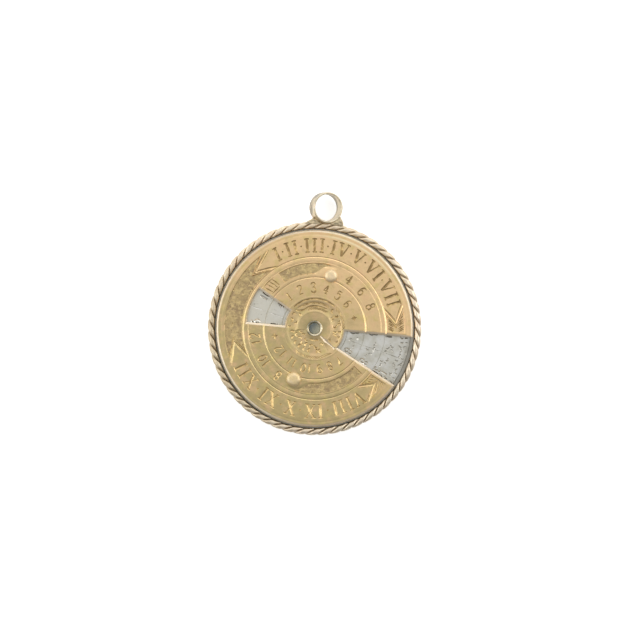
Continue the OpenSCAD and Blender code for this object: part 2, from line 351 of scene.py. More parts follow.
def baked(piece):  # the piece with its modifiers or its curve made into a mesh
    bpy.context.view_layer.update()
    return bpy.data.meshes.new_from_object(piece.evaluated_get(bpy.context.evaluated_depsgraph_get()))


def cleaned(piece):
    mesh = baked(piece)
    bm = bmesh.new()
    bm.from_mesh(mesh)
    bmesh.ops.remove_doubles(bm, verts=bm.verts, dist=0.0002)
    bmesh.ops.recalc_face_normals(bm, faces=bm.faces)
    return bm


def turned(profile, steps, name, finishes, closed=True):  # a section of (radius, height), spun
    bm = bmesh.new()
    verts = [bm.verts.new((r, 0, z)) for r, z in profile]
    edges = [bm.edges.new(pair) for pair in zip(verts, verts[1:])]
    if closed:
        edges.append(bm.edges.new((verts[-1], verts[0])))
    bmesh.ops.spin(bm, geom=verts + edges, axis=(0, 0, 1), cent=(0, 0, 0), angle=math.tau,
                   steps=steps, use_merge=True)
    bmesh.ops.remove_doubles(bm, verts=bm.verts, dist=0.0005)
    bmesh.ops.recalc_face_normals(bm, faces=bm.faces)
    piece = meshOf(bm, name)
    for material in finishes:
        piece.data.materials.append(material)
    return piece


def cut(piece, cutter, finish=None):  # the walls of the cut get one finish, or each face keeps its own
    for material in piece.data.materials:
        cutter.data.materials.append(material)
    if finish is not None:
        cutter.data.polygons.foreach_set("material_index", [finish] * len(cutter.data.polygons))
    tool = piece.modifiers.new("cut", "BOOLEAN")
    tool.operation = "DIFFERENCE"
    tool.solver = "MANIFOLD"
    tool.object = cutter
    mesh = baked(piece)
    piece.modifiers.clear()
    piece.data = mesh
    bpy.data.objects.remove(cutter)


def finishPiece(piece, body, nodes, sharp=30):  # edges past that angle stay sharp
    piece.data.transform(Matrix.Scale(mm, 4))
    piece.data.polygons.foreach_set("use_smooth", [True] * len(piece.data.polygons))
    piece.data.set_sharp_from_angle(angle=math.radians(sharp))
    piece.data.update()
    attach(piece, body)
    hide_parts(*nodes)
    print(piece.name, len(piece.data.polygons), "faces")
    return piece


def polar(r, angle):
    return Vector((r * math.cos(math.radians(angle)), r * math.sin(math.radians(angle)), 0))


# engraving: every stroke is a burin cut with a sharp floor, and narrows at its ends

class Burin:
    blade = ((-1.3, 0.18), (1.3, 0.18), (0, -0.6))  # section across a stroke, its sharp floor last
    sharpEnd, bluntEnd = 0.35, 0.75  # share of the width at the ends of a stroke
    layers = 4  # strokes that cross lie in different layers, and each layer is cut by itself

    def __init__(self, level):
        self.level = level
        self.strokes = [[] for layer in range(self.layers)]
        self.pits = []

    def line(self, points, width, layer=0, smooth=False, closed=False, blunt=False):
        self.strokes[layer].append((points, width, smooth, closed, blunt))

    def pit(self, r, angle, size, lift=0.15):
        self.pits.append((polar(r, angle), size, lift))

    def cutLayer(self, strokes, edge):
        curve = sweptCurve("burin", edge)
        curve.use_fill_caps = True
        for points, width, smooth, closed, blunt in strokes:
            line = curve.splines.new("NURBS" if smooth else "POLY")
            line.points.add(len(points) - 1)
            last = len(points) - 1
            for k, point in enumerate(points):
                line.points[k].co = (point[0], point[1], self.level, 1)
                ends = self.bluntEnd if blunt else self.sharpEnd
                line.points[k].radius = width / 2 * (1.0 if closed or 0 < k < last else ends)
            line.use_cyclic_u = closed
            if smooth:
                line.order_u = 3
                line.use_endpoint_u = not closed
                line.resolution_u = 4
        piece = linked("burin", curve)
        bm = cleaned(piece)
        bpy.data.objects.remove(piece)
        return meshOf(bm, "burinCut")

    def pitLayer(self):
        bm = bmesh.new()
        for spot, size, lift in self.pits:
            place = Matrix.Translation((spot[0], spot[1], self.level + size * lift))
            bmesh.ops.create_icosphere(bm, subdivisions=1, radius=size / 2, matrix=place)
        return meshOf(bm, "punchMarks")

    def carve(self, piece, finish=engraved, flip=False):
        edge = flatCurve("burinEdge", self.blade)
        cutters = [self.cutLayer(strokes, edge) for strokes in self.strokes if strokes]
        if self.pits:
            cutters.append(self.pitLayer())
        for cutter in cutters:
            if flip:
                cutter.data.transform(Matrix.Rotation(math.pi, 4, "Y"))
            cut(piece, cutter, finish)
        bpy.data.objects.remove(edge)


straight, curved, looped = range(3)  # kinds of stroke


def serif(x, y, half=0.17):
    return (2, 0.6, straight, [(x - half, y), (x, y), (x + half, y)])


def oval(x, y, halfX, halfY, weight=0.75, layer=0):
    around = [(x + halfX * math.cos(k * math.pi / 4) * 1.06, y + halfY * math.sin(k * math.pi / 4) * 1.06)
              for k in range(8)]
    return (layer, weight, looped, around)


figures = {  # width, then strokes of layer, weight, kind and points, in a box one high
    "I": (0.42, [(0, 1, straight, [(0.21, 0.02), (0.21, 0.5), (0.21, 0.98)]), serif(0.21, 1), serif(0.21, 0)]),
    "V": (0.80, [(0, 1, straight, [(0.14, 0.98), (0.27, 0.5), (0.40, 0.02)]),
                 (1, 0.5, straight, [(0.68, 0.98), (0.55, 0.5), (0.42, 0.04)]),
                 serif(0.14, 1), serif(0.68, 1, 0.12)]),
    "X": (0.80, [(0, 1, straight, [(0.12, 0.98), (0.40, 0.5), (0.68, 0.02)]),
                 (1, 0.5, straight, [(0.66, 0.98), (0.40, 0.5), (0.14, 0.02)]),
                 serif(0.12, 1), serif(0.66, 1, 0.12), serif(0.14, 0, 0.12), serif(0.68, 0)]),
    "0": (0.60, [oval(0.3, 0.5, 0.24, 0.48)]),
    "1": (0.44, [(0, 1, straight, [(0.24, 0.02), (0.24, 0.5), (0.24, 0.98)]), serif(0.24, 0, 0.18),
                 (1, 0.5, straight, [(0.06, 0.80), (0.15, 0.88), (0.22, 0.98)])]),
    "2": (0.60, [(0, 0.8, curved, [(0.06, 0.70), (0.06, 1.02), (0.54, 1.08), (0.56, 0.66), (0.30, 0.36),
                                   (0.06, 0.02)]),
                 (1, 0.9, straight, [(0.05, 0.02), (0.3, 0.02), (0.56, 0.04)])]),
    "3": (0.56, [(0, 0.8, curved, [(0.06, 0.84), (0.10, 1.06), (0.52, 1.06), (0.52, 0.60), (0.22, 0.54)]),
                 (1, 0.9, curved, [(0.22, 0.53), (0.60, 0.54), (0.58, -0.08), (0.10, -0.06), (0.05, 0.20)])]),
    "4": (0.62, [(0, 1, straight, [(0.42, 0.02), (0.42, 0.5), (0.42, 0.98)]), serif(0.42, 0),
                 (1, 0.5, straight, [(0.41, 0.97), (0.22, 0.64), (0.03, 0.30)]),
                 (3, 0.7, straight, [(0.03, 0.29), (0.3, 0.29), (0.60, 0.29)])]),
    "5": (0.56, [(0, 0.9, curved, [(0.10, 0.54), (0.24, 0.70), (0.58, 0.62), (0.58, -0.06), (0.14, -0.08),
                                   (0.04, 0.18)]),
                 (1, 0.5, straight, [(0.14, 0.98), (0.12, 0.75), (0.10, 0.54)]),
                 (3, 0.8, straight, [(0.13, 0.97), (0.30, 0.96), (0.52, 1.0)])]),
    "6": (0.58, [(0, 0.9, curved, [(0.48, 0.94), (0.26, 1.02), (0.03, 0.66), (0.02, 0.20)]),
                 oval(0.29, 0.29, 0.23, 0.28, 0.75, 1)]),
    "7": (0.56, [(0, 0.9, curved, [(0.52, 0.97), (0.44, 0.70), (0.26, 0.50), (0.20, 0.02)]),
                 (1, 0.8, straight, [(0.04, 0.97), (0.28, 0.97), (0.53, 0.98)])]),
    "8": (0.58, [oval(0.29, 0.75, 0.18, 0.22, 0.7, 0), oval(0.29, 0.27, 0.23, 0.26, 0.8, 1)]),
    "9": (0.58, [(0, 0.9, curved, [(0.10, 0.06), (0.32, -0.02), (0.55, 0.34), (0.56, 0.80)]),
                 oval(0.29, 0.71, 0.23, 0.28, 0.75, 1)]),
}
gapBetween = 0.16  # share of the height between the figures of one number


def wordWidth(word):
    return sum(figures[sign][0] for sign in word) + gapBetween * (len(word) - 1)


def engraveWord(burin, word, angle, low, height, width, shake=0.015):  # clockwise from that angle
    middle = low + height / 2
    at = 0.0
    for sign in word:
        wide, strokes = figures[sign]
        tip = chance.uniform(-shake, shake) * 2
        for layer, weight, kind, points in strokes:
            bent = []
            for x, y in points:
                x += at + tip * (y - 0.5) + chance.uniform(-shake, shake)
                y += chance.uniform(-shake, shake)
                bent.append(polar(low + y * height, angle - math.degrees(x * height / middle)))
            burin.line(bent, width * weight, layer, kind != straight, kind == looped, kind == straight)
        at += wide + gapBetween
    return angle - math.degrees((at - gapBetween) * height / middle)


def engraveArc(burin, words, start, end, low, height, width, dots=False):  # words spread evenly, clockwise
    middle = low + height / 2
    ink = sum(wordWidth(word) for word in words) * height
    gap = (math.radians(start - end) * middle - ink) / (len(words) - 1)
    angle = start
    for word in words:
        after = engraveWord(burin, word, angle, low, height, width)
        angle = after - math.degrees(gap / middle)
        if dots and word != words[-1]:
            burin.pit(middle, (after + angle) / 2, 0.3)


def engraveStar(burin, r, angle, size, width):
    centre = polar(r, angle)
    for k in range(4):
        reach = Vector((size if k % 2 == 0 else size * 0.7, 0, 0))
        tip = Matrix.Rotation(math.radians(angle + 45 * k), 3, "Z") @ reach
        burin.line([centre - tip, centre, centre + tip], width, k)


def inPolygon(spot, outline):
    inside = False
    for a, b in zip(outline, outline[1:] + outline[:1]):
        if (a[1] > spot[1]) != (b[1] > spot[1]):
            crossing = (b[0] - a[0]) * (spot[1] - a[1]) / (b[1] - a[1]) + a[0]
            inside = inside != (spot[0] < crossing)
    return inside


def stipple(burin, outline, lowR, highR, startAngle, endAngle, step, size):  # punch marks in staggered rows
    rows = int((highR - lowR) / (step * 0.87))
    for row in range(rows + 1):
        r = lowR + row * step * 0.87
        turn = math.degrees(step / r)
        count = int((endAngle - startAngle) / turn)
        for k in range(count + 1):
            spotR = r + chance.uniform(-0.18, 0.18) * step
            spot = startAngle + (k + 0.5 * (row % 2) + chance.uniform(-0.18, 0.18)) * turn
            if inPolygon(polar(spotR, spot), outline):
                burin.pit(spotR, spot, size * chance.uniform(0.55, 1.0), chance.uniform(0.34, 0.44))


# front plate: spun with its ring lines, pierced, then engraved
low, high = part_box("front_plate")
plate = {
    "under": low[2] / mm, "top": high[2] / mm, "rim": high[0] / mm, "hole": 0.95, "steps": 288,
    "rings": [(10.00, 0.24, -0.065), (9.64, 0.36, 0.018), (9.34, 0.16, -0.03), (7.46, 0.28, 0.017),
              (7.14, 0.24, -0.065), (4.42, 0.28, 0.025), (2.36, 0.16, 0.025)],  # radius, width and rise
    "lip": [(12.68, 0), (12.71, 0), (12.98, -0.012), (13.06, -0.018), (13.17, -0.044), (13.28, -0.026),
            (13.44, -0.030)],
    "bevel": 0.26, "brim": 0.035, "dish": 0.04, "dished": 1.92, "ground": (2.48, 3.84), "sink": 0.07,
    "edge": 0.28, "edgeDeep": 0.14, "hubEdge": 0.5, "openFrom": 4.2, "windowTo": 9.56,
    "window": (150, 180), "notch": -28, "notchOff": 0.52,
}
studs = {"upper": 78, "lower": 253, "high": 0.7, "wide": 0.33, "bevel": 0.21, "soft": 0.05}  # angles first


def plateOutline(p):  # section from the hole outwards, with grooves and low beads, then back underneath
    outline = [(p["hole"], -p["dish"]), (p["dished"], -p["dish"]), (p["dished"] + 0.3, 0)]
    for r, width, rise in p["rings"]:
        soft = 0.25 if rise > 0 else 0.17
        half = [(width / 2 + 0.03, 0), (width / 2, 0), (width * soft, rise * 0.8)]  # flat beside the ring
        outline += [(r - out, z) for out, z in half] + [(r, rise)]
        outline += [(r + out, z) for out, z in half[::-1]]
    if "ground" in p:
        start, end = p["ground"]
        outline += [(start, 0), (start + 0.14, -p["sink"]), (end - 0.14, -p["sink"]), (end, 0)]
    outline.sort()
    outline += p.get("lip", [])  # rolls down into a groove inside the bevel
    outline += [(p["rim"] - p["bevel"], -p["brim"]), (p["rim"] - 0.07, -p["brim"] - p["bevel"] * 0.22),
                (p["rim"], -p["bevel"] * 0.8)]
    return [(r, p["top"] + z) for r, z in outline] + [(p["rim"], p["under"]), (p["hole"], p["under"])]


def dressRings(piece, p):  # painted highlight: the sloped bevel of the rim takes the paler gold, as if it caught the light
    for face in piece.data.polygons:
        if face.center.to_2d().length > p["rim"] - p["bevel"] and 0.2 < face.normal.z < 0.98:
            face.material_index = highlightSlot


def pocket(mouth, floor, top, depth, through=0.0, finish=matted):  # a sunk panel, or a bevelled opening
    bm = bmesh.new()
    face = bm.faces.new([bm.verts.new((spot[0], spot[1], top + 0.15)) for spot in mouth])
    levels = [(mouth, top), (floor, top - depth)] + [(floor, top - depth - through)] * (through > 0)
    for outline, z in levels:
        face = bmesh.ops.extrude_discrete_faces(bm, faces=[face])["faces"][0]
        for vert, spot in zip(face.verts, outline):
            vert.co = (spot[0], spot[1], z)
    bmesh.ops.holes_fill(bm, edges=[edge for edge in bm.edges if edge.is_boundary])
    bmesh.ops.recalc_face_normals(bm, faces=bm.faces)
    for face in bm.faces:
        steep = abs(face.normal.z)
        # painted highlight: the sloped walls of an opening take the paler gold
        face.material_index = finish if steep > 0.999 else (highlightSlot if through and steep > 0.2 else plain)
    return meshOf(bm, "pocket")


def arc(r, start, end, steps=24):
    return [polar(r, start + (end - start) * k / steps) for k in range(steps + 1)]


def windowOutline(p, grow):  # the sides stay parallel to the radii
    start, end = p["window"]
    outer, inner = p["windowTo"] + grow * p["hubEdge"], p["openFrom"] - grow * p["hubEdge"]
    wide, narrow = (math.degrees(math.asin(grow / r)) for r in (outer, inner))
    return arc(outer, start - wide, end + wide) + arc(inner, end + narrow, start - narrow)


def notchOutline(p, grow):  # upper side along a radius, lower side set off from one, open at the rim
    inner, off = p["openFrom"] - grow * p["hubEdge"], p["notchOff"] + grow
    along, aside = polar(1, p["notch"]), polar(off, p["notch"] - 90)
    corner = aside + along * math.sqrt(inner ** 2 - off ** 2)
    start = math.degrees(math.asin(grow / inner))
    outline = [aside + along * 16, polar(16.5, -12), Vector((16, grow, 0))]  # well past the rim
    return outline + arc(inner, start, math.degrees(math.atan2(corner[1], corner[0])), 16)


frontPlate = turned(plateOutline(plate), plate["steps"], "frontPlate", plateFinishes)
dressRings(frontPlate, plate)
for outline in (windowOutline, notchOutline):
    mouth, throat = outline(plate, plate["edge"]), outline(plate, 0)
    cut(frontPlate, pocket(mouth, throat, plate["top"], plate["edgeDeep"], through=1.0))
print("front plate pierced")

ribbon = {
    "outer": 12.70, "inner": 10.14, "line": 0.25, "strap": 0.42, "second": 0.66,
    "ends": [(143.5, 129), (7.5, 18.5), (323.8, 313.4), (193.0, 206)],  # angles of each point and its arms
}
ribbonMiddle = (ribbon["outer"] + ribbon["inner"]) / 2
sunk = {"depth": 0.10, "slope": 0.12, "armSlip": 2.9, "pointSlip": 2.15}  # slips of the slanted sides
leftPanel = {"arms": (131.5, 204.5), "points": (144.6, 192.0)}
notchPanels = {  # angles of the ribbon's point and arms, and of the notch's side, from which it stays off
    "above": {"point": 6.4, "arms": 16.4, "edge": 0.0, "off": 0.46, "way": 1},
    "below": {"point": 324.9, "arms": 314.6, "edge": 332.0, "off": 1.00, "way": -1},
}
hook = {  # a crescent's width, and its tip over the stud as radius and angle, at the face and on its floor
    "outer": 9.22, "inner": 7.62, "middle": 8.4,
    "face": [(9.22, 1), (9.13, -2), (8.98, -3.6), (8.84, -2.4), (8.74, 3), (8.52, 7.4), (8.06, 10.4),
             (7.62, 15)],
    "floor": [(9.05, 3.4), (9.03, 2.2), (8.99, 1.4), (8.95, 2.2), (8.89, 4.8), (8.68, 8.8), (8.22, 12.2),
              (7.79, 16.4)],
}


def leftGround(inset):  # between the points of the two ribbons
    slip = math.degrees(inset / ribbonMiddle)
    arm, point = slip * sunk["armSlip"], slip * sunk["pointSlip"]
    (startArm, endArm), (startPoint, endPoint) = leftPanel["arms"], leftPanel["points"]
    startArm, endArm = startArm + arm, endArm - arm
    return (arc(ribbon["outer"] - inset, startArm, endArm, 36) + [polar(ribbonMiddle, endPoint - point)]
            + arc(ribbon["inner"] + inset, endArm, startArm, 36) + [polar(ribbonMiddle, startPoint + point)])


def crescent(start, stud, inset):  # wide at the start, and over the stud to a rounded tip
    share = inset / sunk["slope"]
    tip = [(r + (s - r) * share, stud + a + (b - a) * share)
           for (r, a), (s, b) in zip(hook["face"], hook["floor"])]
    slip = math.degrees(inset / hook["middle"])
    return (arc(hook["outer"] - inset, start - slip, stud + 3 + slip, 30) + [polar(*spot) for spot in tip]
            + arc(hook["inner"] + inset, stud + 17 + slip, start - slip, 30))


def besideNotch(panel, inset):  # the grounds between a ribbon's point and the notch
    outer, inner = ribbon["outer"] - inset, ribbon["inner"] + inset
    way, off = panel["way"], panel["off"] + inset
    slip = way * math.degrees(inset / ribbonMiddle)
    arms = panel["arms"] - slip * sunk["armSlip"]
    far, near = (panel["edge"] + way * math.degrees(math.asin(off / r)) for r in (outer, inner))
    return (arc(outer, arms, far, 8) + arc(inner, near, arms, 8)
            + [polar(ribbonMiddle, panel["point"] - slip * sunk["pointSlip"])])


panels = [(leftGround,), (crescent, 322, studs["lower"]), (crescent, 129, studs["upper"]),
          (besideNotch, notchPanels["above"]), (besideNotch, notchPanels["below"])]
floors = []
for outline, *where in panels:
    floors.append(outline(*where, sunk["slope"]))
    bottom = plain if outline == besideNotch else matted
    cut(frontPlate, pocket(outline(*where, 0), floors[-1], plate["top"], sunk["depth"], finish=bottom))

hub = {"low": 1.30, "high": 3.84, "middle": 2.5, "from": 188, "to": 311, "depth": 0.085, "slope": 0.2}


def hubGround(inset):  # below the eyelet the carving runs up to its lip
    low, high = hub["low"] + inset, hub["high"] - inset
    slip = math.degrees(inset / hub["middle"])
    start, end = hub["from"] + slip, hub["to"] - slip
    return arc(high, start, end) + arc(low, end, start)


cut(frontPlate, pocket(hubGround(0), hubGround(hub["slope"]), plate["top"], hub["depth"], finish=plain))

bands = {
    "outer": {"low": 10.70, "height": 1.84, "width": 0.42},
    "middle": {"low": 7.74, "height": 1.34, "width": 0.30},
    "inner": {"low": 5.10, "height": 1.22, "width": 0.28},
}
numbers = [  # band, what it reads, and the angles it runs between
    ("outer", "I II III IV V VI VII", 124, 21), ("outer", "VIII IX X XI XII", 311, 211),
    ("middle", "4 6 8", 63, 24), ("middle", "8 10 12", 240, 190),
    ("inner", "1 2 3 4 5 6", 137, 38), ("inner", "7 8 9 10 11 12", 316, 212),
]
stars = [(5.7, 20, 0.42, 0.26), (5.7, 196, 0.46, 0.28)]  # radius, angle, size and width of stroke
dress = Burin(plate["top"])
for name, words, start, end in numbers:
    engraveArc(dress, words.split(), start, end, *bands[name].values(), dots=name == "outer")
for star in stars:
    engraveStar(dress, *star)


def engraveRibbonEnd(lines, straps, point, arms):  # a strap between two lines
    toArms = math.copysign(1, arms - point)
    strokes = [(lines, 0, ribbon["line"]), (straps, ribbon["second"] / 2, ribbon["strap"]),
               (lines, ribbon["second"], ribbon["line"] * 0.8)]
    for tool, step, width in strokes:
        turn = toArms * math.degrees(step / ribbonMiddle)
        tip = polar(ribbonMiddle, point + turn)
        for r, layer in ((ribbon["outer"], 0), (ribbon["inner"], 1)):
            end = polar(r, arms + turn)
            tool.line([tip, tip.lerp(end, 0.5), end], width, layer, blunt=tool is straps)


straps = Burin(plate["top"])
for point, arms in ribbon["ends"]:
    engraveRibbonEnd(dress, straps, point, arms)


def hatch(burin, places):  # slanted strokes side by side
    for lowR, highR, start, end, count, lean, width, layer in places:
        for k in range(count):
            angle = start + (end - start) * k / (count - 1) + chance.uniform(-0.3, 0.3)
            mid = (lowR + highR) / 2 + chance.uniform(-0.04, 0.04)
            burin.line([polar(lowR, angle - lean), polar(mid, angle), polar(highR, angle + lean)], width, layer)


hatches = {  # radii, angles, count of strokes, lean, width and layer
    "besideNotch": [(11.70, 12.50, 3.6, 12.0, 7, 1.2, 0.2, 0), (10.30, 11.10, 3.6, 11.0, 7, -1.2, 0.2, 0),
                    (11.70, 12.45, 320.0, 326.4, 5, -1.2, 0.2, 0),
                    (10.30, 11.00, 319.0, 325.0, 4, 1.2, 0.2, 0)],
    "tail": [(7.75, 9.10, 135.5, 145.0, 4, 1.0, 0.22, 0)],
    "leaf": [(3.42, 3.76, 64, 130, 16, 4.5, 0.17, 2), (2.62, 2.98, 60, 112, 11, -4.0, 0.17, 2)],
    "hub": [(3.88, 4.3, 236, 306, 16, 4.0, 0.16, 0), (3.88, 4.3, 6, 46, 10, 4.0, 0.14, 0)],
}
beside = Burin(plate["top"] - sunk["depth"])
hatch(beside, hatches["besideNotch"])
hatch(dress, hatches["tail"])  # where the crescent starts, between two short lines
for radii in ((7.62, 7.62, 7.62), (9.18, 9.20, 9.18)):
    dress.line([polar(*spot) for spot in zip(radii, (146.2, 140, 134.4))], 0.18, 1)
dress.line(arc(4.16, 140.4, 52, 20), 0.24, 1)
dress.carve(frontPlate)
straps.carve(frontPlate, plain)
beside.carve(frontPlate)


def scrolls(burin, lowR, highR, start, end, step, width):  # small curls, each turned its own way
    rows = int((highR - lowR) / step)
    for row in range(rows + 1):
        r = lowR + row * step
        count = int(math.radians(end - start) * r / step)
        for k in range(count):
            heart = polar(r, start + (end - start) * (k + 0.5 * (row % 2)) / count)
            turn, span = chance.uniform(0, math.tau), chance.choice((-1, 1)) * chance.uniform(2.2, 3.8)
            curl = []
            for j in range(6):
                way = Vector((math.cos(turn + span * j / 5), math.sin(turn + span * j / 5), 0))
                curl.append(heart + way * step * (0.42 - 0.02 * j))
            burin.line(curl, width * chance.uniform(0.7, 1.1), row % 2 * 2 + k % 2, smooth=True)


hubCurls = {  # radii and angles of the places
    "beside": [(2.85, 3.60, -30, 54), (2.85, 3.60, 146, 184)], "below": [(1.85, 3.50, 196, 304)],
    "step": 0.68, "width": 0.31,
}
for sink, places in ((plate["sink"], hubCurls["beside"]), (hub["depth"], hubCurls["below"])):
    scrollwork = Burin(plate["top"] - sink)
    for place in places:
        scrolls(scrollwork, *place, hubCurls["step"], hubCurls["width"])
    scrollwork.carve(frontPlate, carved)

leafStem = [(3.76, 140.4), (3.5, 140.2), (3.23, 134.7), (2.97, 124.4), (3.05, 117.4), (3.2, 106), (3.2, 84),
            (3.25, 62)]
leafwork = Burin(plate["top"] - plate["sink"])
hatch(leafwork, hatches["leaf"])
leafwork.line([polar(*spot) for spot in leafStem], 0.26, 3, smooth=True)
leafwork.carve(frontPlate)

hubLines = Burin(plate["top"])
hatch(hubLines, hatches["hub"])
hubLines.carve(frontPlate)

scribed = Burin(plate["top"])  # a line from the eyelet towards the notch, its walls in the paler gold as a painted highlight
scribed.line([polar(1.35, -46.5), polar(2.7, -42.8), polar(4.0, -39.6)], 0.5, 0, blunt=True)
scribed.carve(frontPlate, highlightSlot)

punch = {"step": 0.5, "size": 0.52,
         "grounds": [(10.3, 12.8, 131, 205), (7.8, 9.1, 248, 322), (7.8, 9.1, 73, 129)]}  # radii and angles
matting = Burin(plate["top"] - sunk["depth"])
for outline, around in zip(floors, punch["grounds"]):
    stipple(matting, outline, *around, punch["step"], punch["size"])
matting.carve(frontPlate, matted)
finishPiece(frontPlate, "front_disc", ["front_plate"])


# silver dial: figures of the twelve months in front, the days of a month behind
low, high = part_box("silver_dial")
dial = {
    "half": high[2] / mm, "rim": high[0] / mm, "hole": 0.93, "steps": 192, "groove": 0.06,
    "rings": [13.5, 9.95, 7.0, 4.6], "backRings": [12.95, 10.95], "first": -14, "line": 0.14, "figure": 0.36,
    "spokes": [(4.7, 6.9), (7.1, 9.85), (10.05, 13.4)],
    "rows": [(11.15, 0.9), (10.12, 0.85), (7.75, 1.2), (5.15, 1.1)],  # foot and height of the four figures
    "border": (12.35, 13.1, 0, 360, 0.66, 0.29),
    "newYear": [(8.3, 2.6), (8.3, -4.4), (5.7, 5.0), (5.9, -6.5), (10.9, 4.5), (10.7, -6.0)],  # flourishes
}
dayRing = {"places": 35, "days": 31, "line": (11.05, 12, 12.85), "between": 5.14, "foot": 11.35, "height": 1.2}
dayTurn = 360 / dayRing["places"]


def dialOutline(d):
    outline = [(d["hole"], d["half"])]
    for r in sorted(d["rings"]):
        outline += [(r - d["groove"], d["half"]), (r, d["half"] - d["groove"]), (r + d["groove"], d["half"])]
    outline += [(d["rim"], d["half"]), (d["rim"], -d["half"])]
    for r in sorted(d["backRings"], reverse=True):
        outline += [(r + 0.07, -d["half"]), (r, d["groove"] - d["half"]), (r - 0.07, -d["half"])]
    return outline + [(d["hole"], -d["half"])]


def monthFigures(month):  # its number, its days, its hours of daylight and the hour of sunrise
    days = 28 if month == 2 else 30 + (month + month // 8) % 2
    light = 12.2 + 4.3 * math.cos(math.tau * (month - 6.7) / 12)
    return str(month), str(days), str(round(light)), str(round(12 - light / 2))


def engraveMiddle(burin, word, angle, low, height, width):
    half = math.degrees(wordWidth(word) * height / (low + height / 2)) / 2
    engraveWord(burin, word, angle + half, low, height, width)


silverDial = turned(dialOutline(dial), dial["steps"], "silverDial", dialFinishes)
months = Burin(dial["half"])
for month in range(1, 13):
    edge = dial["first"] + 30 * (month - 1)
    for start, end in dial["spokes"]:
        months.line([polar(r, edge) for r in (start, (start + end) / 2, end)], dial["line"], 0)
    for word, (foot, height) in zip(monthFigures(month), dial["rows"]):
        engraveMiddle(months, word, edge + 15, foot, height, dial["figure"])
months.carve(silverDial)
border = Burin(dial["half"])
scrolls(border, *dial["border"])
for r, turn in dial["newYear"]:
    scrolls(border, r - 0.3, r + 0.4, dial["first"] + turn - 4, dial["first"] + turn + 4, 0.6, 0.31)
border.carve(silverDial)
days = Burin(dial["half"])
for day in range(dayRing["places"]):
    edge = 90 - dayTurn * day
    days.line([polar(r, edge + dayRing["between"]) for r in dayRing["line"]], 0.13, 0)
    if day < dayRing["days"]:
        engraveMiddle(days, str(day + 1), edge, dayRing["foot"], dayRing["height"], 0.2)
    else:
        days.pit(11.95, edge, 0.4)
days.carve(silverDial, flip=True)
finishPiece(silverDial, "case", ["silver_dial"])


# back plate: seven days five times round its edge, and a rosette
low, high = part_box("back_plate")
back = {
    "under": -high[2] / mm, "top": -low[2] / mm, "rim": high[0] / mm, "hole": 0.95, "steps": 256,
    "rings": [(10.0, 0.20, -0.05), (8.40, 0.24, -0.06), (8.06, 0.30, 0.03), (2.4, 0.24, -0.05)],
    "bevel": 0.24, "brim": 0.03, "dish": 0.04, "dished": 1.9,
    "sevenths": ["I", "II", "III", "IV", "V", "VI", "VII"], "foot": 8.84, "height": 0.74, "figure": 0.15,
}
rosette = {  # radius and turn of a petal's side, radii of its vein, and the dot between two petals
    "petals": 12, "side": [(2.9, 0), (4.0, 13), (5.6, 10), (6.9, 0)], "vein": (3.3, 4.8, 6.2), "dot": 7.35,
}
backPlate = turned(plateOutline(back), back["steps"], "backPlate", plateFinishes)
dressRings(backPlate, back)
reverse = Burin(back["top"])
for day in range(dayRing["places"]):
    seventh = back["sevenths"][day % 7]
    engraveMiddle(reverse, seventh, 90 - dayTurn * day, back["foot"], back["height"], back["figure"])
for k in range(rosette["petals"]):
    for lean in (-1, 1):
        side = [polar(r, 30 * k + lean * turn) for r, turn in rosette["side"]]
        reverse.line(side, 0.22, 0 if lean > 0 else 1, smooth=True)
    reverse.line([polar(r, 30 * k) for r in rosette["vein"]], 0.16, 2)
    reverse.pit(rosette["dot"], 30 * k + 15, 0.5)
reverse.carve(backPlate)
backPlate.data.transform(Matrix.Rotation(math.pi, 4, "Y"))
finishPiece(backPlate, "back_disc", ["back_plate"])


# rope border: two wires laid round each other, worn flat where they lie together, and closed on themselves
lay = {"round": 14.46, "thick": 0.522, "apart": 0.02, "corner": 0.225, "turns": 28, "hand": -1, "points": 20,
       "uneven": 0.008}


def wireSection(d):  # half of the rope's round, with soft corners
    x = d["apart"] + d["corner"]
    y = math.sqrt((d["thick"] - d["corner"]) ** 2 - x ** 2)
    half = math.atan2(y, x)
    section = []
    for k in range(8):
        turn = half * (2 * k / 7 - 1)
        section.append((d["thick"] * math.cos(turn), d["thick"] * math.sin(turn)))
    for side, steps in ((1, (1, 2, 3, 4, 5)), (-1, (5, 4, 3, 2, 1))):
        for step in steps:
            turn = half + (math.pi - half) * step / 5
            section.append((x + d["corner"] * math.cos(turn), side * (y + d["corner"] * math.sin(turn))))
    return section


def ropeWire(name, start, node):
    section = flatCurve("wireSection", wireSection(lay))
    curve = sweptCurve(name, section)
    line = curve.splines.new("POLY")
    count = lay["turns"] * lay["points"]
    line.points.add(count - 1)
    line.use_cyclic_u = True
    for k in range(count):
        angle = math.tau * k / count
        spot = polar(lay["round"], 90 + math.degrees(angle))
        line.points[k].co = (spot[0], spot[1], 0, 1)
        line.points[k].tilt = lay["hand"] * (math.radians(start) + lay["turns"] * angle)
        line.points[k].radius = 1 + lay["uneven"] * math.sin(5 * angle + start) * math.sin(31 * angle)
    wire = linked(name, curve)
    bm = cleaned(wire)
    for used in (wire, section):
        bpy.data.objects.remove(used)
    piece = meshOf(bm, name)
    piece.data.materials.append(rope)
    return finishPiece(piece, "case", [node], 80)


ropeWire("ropeWireA", 90, "rope_strand_a")
ropeWire("ropeWireB", 270, "rope_strand_b")


